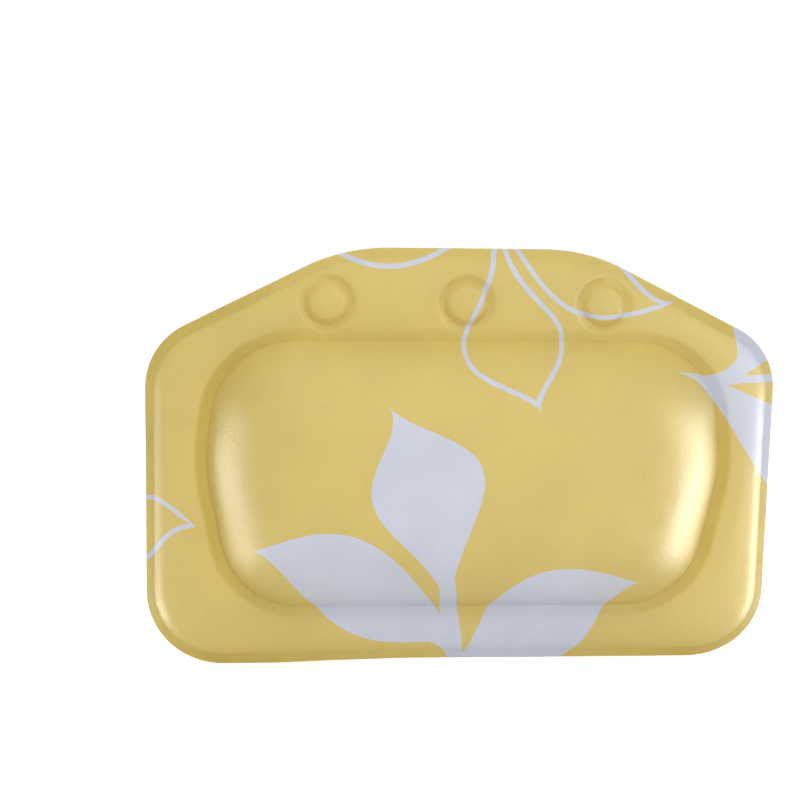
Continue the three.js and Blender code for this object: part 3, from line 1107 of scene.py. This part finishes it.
@dataclass
class Cover:
    """One vinyl cover: a seam flange, a padded border with rings, a groove and a crowned panel."""

    name: str
    node: str
    slot: str
    side: Side
    finish: PrintedVinyl
    flange: float
    border: float
    crown: float
    panel_top_z: float
    crown_run: float = 46.2
    hole_radius: float = 0.0
    wall_gap: float = 0.3
    rim: float = 0.9
    roll: float = 5.0
    border_swell: float = 1.2
    groove_shoulder: float = 4.2
    groove_depth: float = 2.6
    crown_start: float = 2.4
    soft_press: float = 0.42
    panel_shift: float = 0.0
    ring_radius: float = 12.0
    ring_half_width: float = 3.8
    ring_depth: float = 2.2
    seat_swell: float = 1.5
    curl: float = 1.4
    wander: float = 2.2
    pucker: float = 0.5
    fill: float = 0.85

    # Rings of points across the seam's flange, the rolled edge, the groove and the cups' pockets.
    SEAM_SHARES = (0.33, 0.67, 0.9, 1.0)
    ROLL_SHARES = (0.045, 0.125, 0.25, 0.43, 0.68, 1.0, 1.45)
    GROOVE_INSETS = (
        -6.6, -5.4, -4.6, -3.8, -3.0, -2.2, -1.4, -0.5, 0.4, 1.3, 2.0, 2.4, 2.8, 3.5, 4.7, 6.5, 8.8, 11.7,
    )
    RING_RADII = (2.2, 4.6, 6.6, 8.0, 9.0, 10.0, 11.0, 12.0, 13.0, 14.0, 15.0, 16.2)
    RING_POINTS = 60
    LEAST_RING_POINTS = 12
    HOLE_MARGIN = 0.5
    POCKET_REACH = 17.6
    POCKET_MARGIN = 0.9
    FINE_STEP = 2.0
    BORDER_STEP = 3.0
    PANEL_STEP = 4.0
    # The share of a step that stays free beside the rings, and what counts as one point.
    ROOM = 0.6
    JOIN = 1e-4
    # How far past its edge each weld still holds the sheet.
    SEAM_HOLD = 0.3
    GROOVE_HOLD = 1.2
    RING_HOLD = 0.8
    PRESSED_AND_PAINTED_SHADE = "pressed"
    PRESS_SIDES = (75.0, 135.0)
    # How far past its edge the pressed look begins and over what length it fades; the look is painted
    # shade in the colour and a rougher sheen.
    SEAM_FADE = (2.4, 2.6)
    SHOULDER_FADE = (0.3, 2.0)
    CROWN_FADE = 1.5
    # Strength of the pressed look in the groove and at the rings, which is painted shade in the colour
    # and a rougher sheen.
    GROOVE_PRESS = 0.85
    RING_PRESS = 0.3
    WALL_SOFTNESS = 0.25
    SHARP_ANGLE = 50.0

    def build(self, press: SheetForm, air: Inflation) -> bpy.types.Object:
        """Makes the cover.

        Args:
            press: The tree that forms its sheet.
            air: The simulation that swells it.

        Returns:
            The finished cover.
        """
        piece = linked_object(self.name, self.flat_sheet())
        press.run(piece, {
            "Side": float(self.side.value), "Seam Y": SIZES.seam_y, "Rim": self.rim,
            "Flange": self.flange, "Roll": self.roll,
            "Border": self.border, "Border swell": self.border_swell,
            "Groove shoulder": self.groove_shoulder, "Groove depth": self.groove_depth,
            "Crown start": self.crown_start, "Crown": self.crown, "Crown run": self.crown_run,
            "Ring radius": self.ring_radius, "Ring half width": self.ring_half_width,
            "Ring depth": self.ring_depth, "Seat swell": self.seat_swell,
            "Curl": self.curl, "Wander": self.wander, "Pucker": self.pucker,
            "Material": self.finish.material(),
        })
        air.swell(piece, self.welded(piece.data))
        self.rest_on_wall(piece.data)
        self.thicken(piece)
        settle(piece, PILLOW_BODY, [self.node])
        return piece

    @property
    def panel(self) -> Outline:
        """The outline of this cover's panel."""
        return SIZES.panel(self.panel_top_z, self.panel_shift)

    def layout(self) -> np.ndarray:
        """Places the sheet's points, close together at the welds and wider elsewhere.

        Returns:
            Rows of x and z, the rim's points first.
        """
        panel = self.panel
        padding = SIZES.padding
        rim = SIZES.seam.ring(0.0, self.FINE_STEP)
        insets = [self.flange * share for share in self.SEAM_SHARES]
        insets += [self.flange + self.roll * share for share in self.ROLL_SHARES]
        rings = [padding.ring(inset, self.FINE_STEP) for inset in insets]
        rings += [panel.ring(inset, self.FINE_STEP) for inset in self.GROOVE_INSETS]
        border = self.hexagons(self.BORDER_STEP)
        gap = self.ROOM * self.BORDER_STEP
        room = padding.depth(border) > insets[-1] + gap
        border = border[room & (panel.depth(border) < self.GROOVE_INSETS[0] - gap)]
        middle = self.hexagons(self.PANEL_STEP)
        middle = middle[panel.depth(middle) > self.GROOVE_INSETS[-1] + self.ROOM * self.PANEL_STEP]
        field = np.vstack([*rings, border, middle])
        clear = SIZES.from_cup(field) > self.POCKET_REACH
        field = field[clear | (padding.depth(field) < self.flange + self.SEAM_HOLD)]
        pockets = np.vstack([self.pocket_points(x) for x in SIZES.cups.values()])
        pockets = pockets[padding.depth(pockets) > self.flange + self.POCKET_MARGIN]
        return np.vstack([rim, field, pockets])

    @staticmethod
    def hexagons(step: float) -> np.ndarray:
        """Spreads points in a honeycomb over the whole pillow.

        Args:
            step: The distance between them.

        Returns:
            Rows of x and z.
        """
        lift = step * math.sqrt(3) / 2
        rows = np.arange(SIZES.bottom_z, SIZES.top_z, lift)
        half = math.ceil(SIZES.width / 2 / step)
        columns = np.arange(-half, half + 1) * step
        shift = (np.arange(len(rows)) % 2) * step / 2
        return np.column_stack([(columns[None] + shift[:, None]).ravel(), np.repeat(rows, len(columns))])

    def pocket_points(self, cup_x: float) -> np.ndarray:
        """Places points in rings round a cup's axis.

        Args:
            cup_x: The axis.

        Returns:
            Rows of x and z.
        """
        radii = [radius for radius in self.RING_RADII if radius > self.hole_radius + self.HOLE_MARGIN]
        if self.hole_radius:
            radii.insert(0, self.hole_radius)
        rows = [] if self.hole_radius else [(cup_x, 0.0)]
        for radius in radii:
            count = round(self.RING_POINTS * min(1.0, radius / SIZES.seat_radius))
            count = max(self.LEAST_RING_POINTS, count)
            for angle in np.linspace(0.0, 2 * math.pi, count, endpoint=False):
                rows.append((cup_x + radius * math.cos(angle), radius * math.sin(angle)))
        return np.array(rows)

    def flat_sheet(self) -> bpy.types.Mesh:
        """Makes the flat sheet in the seam's plane.

        Returns:
            A mesh whose points store their distances from the seam, the panel and the cups.
        """
        layout = self.layout()
        rim_count = len(SIZES.seam.ring(0.0, self.FINE_STEP))
        rim = [list(range(rim_count))]
        joined = delaunay_2d_cdt([Vector(row) for row in layout], [], rim, 1, self.JOIN)
        points = np.array([tuple(point) for point in joined[0]])
        faces = np.array(joined[2])
        centres = points[faces].mean(axis=1)
        if self.hole_radius:
            faces = faces[SIZES.from_cup(centres) > self.hole_radius]
        if self.side is Side.BACK:
            faces = faces[:, ::-1]
        mesh = bpy.data.meshes.new(self.name)
        heights = points[:, 1] + SIZES.bow(points)
        places = np.column_stack([points[:, 0], np.zeros(len(points)), heights]) * MM
        mesh.from_pydata(places.tolist(), [], faces.tolist())
        distances = {
            SheetForm.SEAM_GAP: SIZES.padding.depth(points),
            SheetForm.PANEL_GAP: self.panel.depth(points),
            SheetForm.CUP_GAP: SIZES.from_cup(points),
            SheetForm.PRESS: self.press_share(points),
        }
        for name, values in distances.items():
            stored = mesh.attributes.new(name, "FLOAT", "POINT")
            stored.data.foreach_set("value", values.astype(np.float32))
        return mesh

    def press_share(self, points: np.ndarray) -> np.ndarray:
        """Measures how hard the press is, hardest at the sides and softer above and below; it also sets
        how dark the painted weld shade is.

        Args:
            points: Rows of x and z.

        Returns:
            The share of the full press at each point.
        """
        start, end = self.PRESS_SIDES
        aside = np.clip((np.abs(points[:, 0]) - start) / (end - start), 0.0, 1.0)
        return self.soft_press + (1.0 - self.soft_press) * eased(aside)

    def gaps(self, mesh: bpy.types.Mesh) -> tuple[np.ndarray, ...]:
        """Reads what a sheet's points store.

        Args:
            mesh: The sheet.

        Returns:
            Their distances from the seam, in the panel and from the cups, and the press.
        """
        found = []
        for name in (SheetForm.SEAM_GAP, SheetForm.PANEL_GAP, SheetForm.CUP_GAP, SheetForm.PRESS):
            values = np.empty(len(mesh.vertices), np.float32)
            mesh.attributes[name].data.foreach_get("value", values)
            found.append(values)
        return tuple(found)

    def welded(self, mesh: bpy.types.Mesh) -> np.ndarray:
        """Finds the points that the welds and pressed lines hold.

        Args:
            mesh: The formed sheet.

        Returns:
            True for each held point.
        """
        seam, panel, cup, _ = self.gaps(mesh)
        flange = seam < self.flange + self.SEAM_HOLD
        groove = np.abs(panel - self.crown_start) < self.GROOVE_HOLD
        return flange | groove | (cup < self.ring_radius + self.RING_HOLD)

    def pressed(self, mesh: bpy.types.Mesh) -> np.ndarray:
        """Measures how hard the press squeezed each point, which the finish turns into painted shade,
        strongest at the sides, and a rougher sheen.

        Args:
            mesh: The formed sheet.

        Returns:
            1 on the welds, less beside them and 0 elsewhere.
        """
        seam, panel, cup, press = self.gaps(mesh)
        reach, fade = self.SEAM_FADE
        flange = press * np.clip((self.flange + reach - seam) / fade, 0.0, 1.0)
        reach, fade = self.SHOULDER_FADE
        shoulder = np.clip((panel + self.groove_shoulder + reach) / fade, 0.0, 1.0)
        foot = np.clip(1.0 - (panel - self.crown_start) / self.CROWN_FADE, 0.0, 1.0)
        groove = self.GROOVE_PRESS * press * shoulder * foot
        ring = np.clip(1.0 - np.abs(cup - self.ring_radius) / self.ring_half_width, 0.0, 1.0)
        return np.maximum(flange, np.maximum(groove, self.RING_PRESS * ring))

    def rest_on_wall(self, mesh: bpy.types.Mesh) -> None:
        """Flattens a back cover where it lies on the wall, with a soft edge to the flat.

        Args:
            mesh: The formed sheet.
        """
        if self.side is Side.FRONT:
            return
        places = coordinates(mesh)
        soft = self.WALL_SOFTNESS * MM
        over = (places[:, 1] + self.wall_gap * MM) / soft
        places[:, 1] -= soft * np.logaddexp(0.0, over)
        mesh.vertices.foreach_set("co", places.ravel())

    def thicken(self, piece: bpy.types.Object) -> None:
        """Gives the sheet its thickness on the inside and closes its edges.

        Args:
            piece: The cover, which gets a new closed mesh.
        """
        sheet = piece.data
        pressed = self.pressed(sheet).astype(np.float32)
        outer = coordinates(sheet)
        count = len(outer)
        inner = outer + np.array((0.0, self.side.value * SIZES.skin * MM, 0.0))
        faces = np.array([tuple(face.vertices) for face in sheet.polygons])
        sides = np.vstack([faces[:, [0, 1]], faces[:, [1, 2]], faces[:, [2, 0]]])
        known = {tuple(side) for side in sides.tolist()}
        edges = [(b, a, a + count, b + count) for a, b in known if (b, a) not in known]
        mesh = bpy.data.meshes.new(self.name)
        shell = [*faces.tolist(), *(faces[:, ::-1] + count).tolist(), *sorted(edges)]
        mesh.from_pydata(np.vstack([outer, inner]).tolist(), [], shell)
        # The pressed look goes on both faces; the finish paints shade in the colour with it.
        squeeze = mesh.attributes.new(self.PRESSED_AND_PAINTED_SHADE, "FLOAT", "POINT")
        squeeze.data.foreach_set("value", np.concatenate([pressed, pressed]))
        mesh.materials.append(sheet.materials[0])
        mesh.shade_smooth()
        mesh.set_sharp_from_angle(angle=math.radians(self.SHARP_ANGLE))
        piece.data = mesh
        bpy.data.meshes.remove(sheet)


@dataclass
class FoamFilling:
    """The foam block under the panel and the foam sheet in the border, both hidden by the covers."""

    slot: str = "foam"
    voxels: tuple[tuple[str, str, float], ...] = (
        ("core_foam_block", "core_foam", 4.0),
        ("border_foam_sheet", "border_foam", 1.6),
    )
    join: float = 0.01
    rounding: int = 6
    rounding_step: float = 0.5
    clearance: float = 0.5
    fill: float = 0.9

    def build(self, finish: OpenFoam, covers: tuple[bpy.types.Object, bpy.types.Object]) -> None:
        """Makes both pieces of foam.

        Args:
            finish: The foam's finish.
            covers: The front and back covers, which the foam fills.
        """
        material = finish.material()
        for name, node, voxel in self.voxels:
            mesh = bpy.data.meshes.new(name)
            form = bmesh.new()
            form.from_mesh(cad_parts[node].data)
            bmesh.ops.remove_doubles(form, verts=form.verts[:], dist=self.join * MM)
            form.to_mesh(mesh)
            form.free()
            piece = linked_object(name, mesh)
            remesh = piece.modifiers.new("cut", "REMESH")
            remesh.mode = "VOXEL"
            remesh.voxel_size = voxel * MM
            soften = piece.modifiers.new("soften", "SMOOTH")
            soften.factor = self.rounding_step
            soften.iterations = self.rounding
            soft = evaluated_mesh(piece)
            piece.modifiers.clear()
            piece.data = soft
            bpy.data.meshes.remove(mesh)
            self.squeeze(soft, covers)
            soft.materials.clear()
            soft.materials.append(material)
            soft.shade_smooth()
            settle(piece, PILLOW_BODY, [node])

    def squeeze(self, foam: bpy.types.Mesh, covers: tuple[bpy.types.Object, bpy.types.Object]) -> None:
        """Presses foam in where the covers' pressed lines leave it less room.

        Args:
            foam: The foam's mesh.
            covers: The front and back covers.
        """
        places = coordinates(foam)
        gap = (SIZES.skin + self.clearance) * MM
        room = np.full((2, len(places)), np.nan)
        for index, (cover, side) in enumerate(zip(covers, (Side.FRONT, Side.BACK))):
            tree = BVHTree.FromPolygons(
                [vertex.co for vertex in cover.data.vertices],
                [tuple(face.vertices) for face in cover.data.polygons])
            inward = Vector((0.0, side.value, 0.0))
            for row, (x, _, z) in enumerate(places):
                hit = tree.ray_cast(Vector((x, 0.0, z)) - inward, inward)[0]
                if hit is not None:
                    room[index, row] = hit.y + side.value * gap
        front, back = room
        middle = (front + back) / 2
        places[:, 1] = np.fmin(np.fmax(places[:, 1], np.fmin(front, middle)), np.fmax(back, middle))
        foam.vertices.foreach_set("co", places.ravel())


@dataclass
class SuctionCups:
    """The three clear cups, each with a dish, a boss, a neck through the back cover and a head."""

    slot: str = "clear_cup"
    radius: float = 10.25
    lip: float = 1.3
    edge: float = 0.7
    dish: float = 3.2
    wall: float = 1.3
    boss_radius: float = 5.35
    boss_y: float = -9.5
    neck_radius: float = 3.0
    head_back_y: float = -12.8
    head_overhang: float = 1.6
    head_height: float = 2.2
    facets: int = 72

    DISH_STEPS = 14
    FILLET_STEPS = 5
    # The rounding of each corner, from the mouth's to the head's.
    ROUNDS = (0.15, 0.3, 0.3, 0.9, 0.45, 0.1, 0.1, 0.4, 1.7)
    SHARP_ANGLE = 60.0

    def build(self, finish: SoftClearVinyl) -> None:
        """Makes the cups.

        Args:
            finish: The cups' finish.
        """
        lathe = CupForm()
        material = finish.material()
        profile = self.profile()
        for place, x in SIZES.cups.items():
            mesh = bpy.data.meshes.new(f"suction_cup_{place}")
            points = [(radius * MM, y * MM, 0.0) for radius, y in profile]
            mesh.from_pydata(points, [(i, i + 1) for i in range(len(points) - 1)], [])
            piece = linked_object(f"clear_cup_{place}", mesh)
            lathe.run(piece, {"Axis X": x * MM, "Facets": float(self.facets), "Material": material})
            piece.data.set_sharp_from_angle(angle=math.radians(self.SHARP_ANGLE))
            settle(piece, f"cup_{place}", [f"suction_cup_{place}"])

    def profile(self) -> list[Point]:
        """Draws half of a cup's section.

        Returns:
            Radius and y from the middle of the dish, over the lip and outside to the middle of the head.
        """
        mouth = self.radius - self.lip
        shares = np.linspace(0.0, 1.0, self.DISH_STEPS, endpoint=False)
        points = [(mouth * share, -self.dish * (1 - share**2)) for share in shares]
        head = self.neck_radius + self.head_overhang
        head_y = self.head_back_y - self.head_height
        corners = [
            (mouth, 0.0),
            (self.radius, 0.0),
            (self.radius, -self.edge),
            (self.boss_radius, -self.dish - self.wall),
            (self.boss_radius, self.boss_y),
            (self.neck_radius, self.boss_y),
            (self.neck_radius, self.head_back_y),
            (head, self.head_back_y),
            (head, head_y),
        ]
        path = [Vector(point) for point in (points[-1], *corners, (0.0, head_y))]
        for before, corner, after, radius in zip(path, path[1:], path[2:], self.ROUNDS):
            points += self.fillet(corner, before, after, radius)
        return [*points, (0.0, head_y)]

    def fillet(self, corner: Vector, before: Vector, after: Vector, radius: float) -> list[Point]:
        """Rounds a corner of the section.

        Args:
            corner: The sharp corner.
            before: The point before it.
            after: The point after it.
            radius: How far from the corner the round begins.

        Returns:
            Points along the round.
        """
        start = corner + (before - corner).normalized() * radius
        end = corner + (after - corner).normalized() * radius
        points = []
        for share in np.linspace(0.0, 1.0, self.FILLET_STEPS):
            point = start.lerp(corner, share).lerp(corner.lerp(end, share), share)
            points.append((point.x, point.y))
        return points


@dataclass
class AnchorDiscs:
    """The flat discs inside the covers that the cups' heads hold on to, as the CAD made them."""

    def dress(self, finish: SoftClearVinyl) -> None:
        """Gives the discs their finish.

        Args:
            finish: Milky vinyl.
        """
        material = finish.material()
        for place in SIZES.cups:
            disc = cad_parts[f"anchor_disc_{place}"]
            for slot in disc.material_slots:
                slot.material = material
            LOG.info("%s: CAD disc with milky vinyl", disc.name)


@dataclass
class Softbox:
    """One large soft lamp, aimed at the pillow or lying on the floor and facing up."""

    name: str
    place: Corner
    size: Span
    power: float
    diffuse: bool = True
    gloss: bool = True
    lying: bool = False

    def light(self, target: Vector) -> None:
        """Hangs the lamp.

        Args:
            target: The point that it faces, in metres.
        """
        lamp = bpy.data.lights.new(self.name, "AREA")
        lamp.shape = "RECTANGLE"
        lamp.size, lamp.size_y = self.size
        lamp.energy = self.power
        holder = bpy.data.objects.new(self.name, lamp)
        holder.location = self.place
        aim = Vector((0.0, 0.0, 1.0)) if self.lying else target - Vector(self.place)
        holder.rotation_euler = aim.to_track_quat("-Z", "Y").to_euler()
        holder.visible_camera = False
        holder.visible_diffuse = self.diffuse
        holder.visible_glossy = self.gloss
        bpy.context.scene.collection.objects.link(holder)


@dataclass
class Studio:
    """A white floor, a world that is dimmer at the sides, and soft lamps there. Sizes are in metres."""

    # The lamps at the sides make the highlights alone, and the others light the colours alone.
    lamps: tuple[Softbox, ...] = (
        Softbox("softbox_right", (0.28, -0.01, -0.13), (0.12, 0.13), 0.65, diffuse=False),
        Softbox("floor_box_right", (0.27, 0.0, -0.1925), (0.16, 0.2), 1.0, diffuse=False, lying=True),
        Softbox("softbox_right_wide", (0.45, -0.25, -0.05), (0.3, 0.3), 1.4, diffuse=False),
        Softbox("softbox_left", (-0.3, 0.02, -0.14), (0.07, 0.12), 0.9, diffuse=False),
        Softbox("floor_box_left", (-0.22, 0.0, -0.1925), (0.08, 0.1), 0.35, diffuse=False, lying=True),
        Softbox("softbox_key", (0.0, -0.55, 0.1), (0.35, 0.35), 0.76, gloss=False),
        Softbox("softbox_top", (0.0, -0.7, 1.4), (1.2, 1.2), 7.0, gloss=False),
        Softbox("softbox_back", (0.0, 0.55, 0.12), (0.35, 0.35), 1.5, gloss=False),
    )
    ambient: Span = (0.95, 0.1)
    floor_light: float = 0.6
    floor_size: float = 12.0
    floor_gap: float = 0.0002
    floor_white: float = 0.95
    floor_roughness: float = 0.9

    def build(self) -> None:
        """Makes the floor, the world and the lamps."""
        scene = bpy.context.scene
        scene.view_settings.view_transform = "Standard"
        for lamp in self.lamps:
            lamp.light(Vector((0.0, SIZES.seam_y, SIZES.bottom_z / 2)) * MM)
        self.world(scene)
        half = self.floor_size / 2
        level = SIZES.bottom_z * MM - self.floor_gap
        mesh = bpy.data.meshes.new("studio_floor")
        corners = [(-half, -half, level), (half, -half, level), (half, half, level), (-half, half, level)]
        mesh.from_pydata(corners, [], [(0, 1, 2, 3)])
        mesh.materials.append(self.floor_finish())
        linked_object("studio_floor", mesh)

    @staticmethod
    def background_rays(graph: Graph) -> Socket:
        """Finds the rays that show the background itself, straight or in gloss or glass.

        Args:
            graph: The tree that asks.

        Returns:
            1 for such a ray and 0 for others.
        """
        rays = graph.node("ShaderNodeLightPath").outputs
        seen = graph.math("MAXIMUM", rays["Is Camera Ray"], rays["Is Glossy Ray"])
        return graph.math("MAXIMUM", seen, rays["Is Transmission Ray"])

    def world(self, scene: bpy.types.Scene) -> None:
        """Makes a world that is white where it is seen and lights the pillow less from its sides.

        Args:
            scene: The scene that gets it.
        """
        world = bpy.data.worlds.new("white_studio")
        world.use_nodes = True
        graph = Graph(world.node_tree)
        backdrop = world.node_tree.nodes["Background"]
        backdrop.inputs["Color"].default_value = WHITE
        direction = graph.node("ShaderNodeTexCoord").outputs["Generated"]
        aside = graph.math("ABSOLUTE", graph.vector("DOT_PRODUCT", direction, (1.0, 0.0, 0.0)))
        level = graph.smooth(aside, 0.0, 1.0, *self.ambient)
        seen = self.background_rays(graph)
        white = graph.math("MULTIPLY_ADD", seen, graph.math("SUBTRACT", 1.0, level), level)
        graph.feed(backdrop.inputs["Strength"], white)
        scene.world = world

    def floor_finish(self) -> bpy.types.Material:
        """Makes the floor's white finish.

        Returns:
            A matt material, lifted to white where it is seen and still darker in shadow.
        """
        graph = FinishGraph("white_floor")
        graph.dress("Base Color", (*[self.floor_white] * 3, 1.0))
        graph.dress("Roughness", self.floor_roughness)
        graph.dress("Emission Color", WHITE)
        lift = 1.0 - self.floor_white * self.floor_light
        graph.dress("Emission Strength", graph.math("MULTIPLY", self.background_rays(graph), lift))
        return graph.material


@dataclass
class Viewpoint:
    """The camera of the photograph, with its place in millimetres and its angles in degrees."""

    azimuth: float = -5.237
    elevation: float = 10.0
    roll: float = 1.104
    distance: float = 1000.0
    target: Corner = (-33.263, -14.8, -51.22)
    focal_pixels: float = 1920.633
    image_pixels: float = 800.0
    sensor: float = 36.0
    nearest: float = 10.0

    def build(self) -> None:
        """Makes the camera and hands it to the scene."""
        camera = bpy.data.cameras.new("viewpoint")
        camera.sensor_width = self.sensor
        camera.lens = self.focal_pixels * self.sensor / self.image_pixels
        camera.clip_start = self.nearest * MM
        holder = bpy.data.objects.new("viewpoint", camera)
        turn, lift, roll = (math.radians(angle) for angle in (self.azimuth, self.elevation, self.roll))
        back = Vector((
            math.sin(turn) * math.cos(lift), -math.cos(turn) * math.cos(lift), math.sin(lift),
        ))
        level = (-back).cross(Vector((0.0, 0.0, 1.0))).normalized()
        upright = level.cross(-back)
        right = level * math.cos(roll) + upright * math.sin(roll)
        up = upright * math.cos(roll) - level * math.sin(roll)
        place = (Vector(self.target) + back * self.distance) * MM
        holder.matrix_world = Matrix.Translation(place) @ Matrix((right, up, back)).transposed().to_4x4()
        bpy.context.scene.collection.objects.link(holder)
        bpy.context.scene.camera = holder


FRONT_VINYL = PrintedVinyl("front_printed_vinyl", ground=(0.62, 0.475, 0.135, 1.0), leaves=FRONT_LEAVES)
BACK_VINYL = PrintedVinyl("back_printed_vinyl", ground=(0.62, 0.45, 0.095, 1.0), leaves=BACK_LEAVES)
# The cups' middle colour is a painted view of the yellow cover through the clear vinyl.
CLEAR_VINYL = SoftClearVinyl(
    "clear_cup_vinyl", rim=(0.8, 0.71, 0.75, 1.0), middle=(0.9, 0.7, 0.4, 1.0), clear=0.6,
)
MILKY_VINYL = SoftClearVinyl(
    "milky_disc_vinyl", rim=(0.86, 0.88, 0.88, 1.0), middle=(0.84, 0.86, 0.86, 1.0), clear=0.25,
)


def main() -> None:
    """Builds the pillow and its studio."""
    logging.basicConfig(level=logging.INFO, format="%(message)s")
    Viewpoint().build()
    Studio().build()
    press = SheetForm()
    air = Inflation()
    covers = (
        Cover("front_cover_skin", "front_cover", "front_vinyl", Side.FRONT, FRONT_VINYL,
              flange=4.2, border=3.4, crown=27.0, panel_top_z=-17.2, panel_shift=1.6),
        Cover("back_cover_skin", "back_cover", "back_vinyl", Side.BACK, BACK_VINYL,
              flange=3.0, border=5.0, crown=14.4, panel_top_z=-27.6, hole_radius=3.3),
    )
    front, back = (cover.build(press, air) for cover in covers)
    FoamFilling().build(OpenFoam(), (front, back))
    SuctionCups().build(CLEAR_VINYL)
    AnchorDiscs().dress(MILKY_VINYL)


if __name__ == "__main__":
    main()
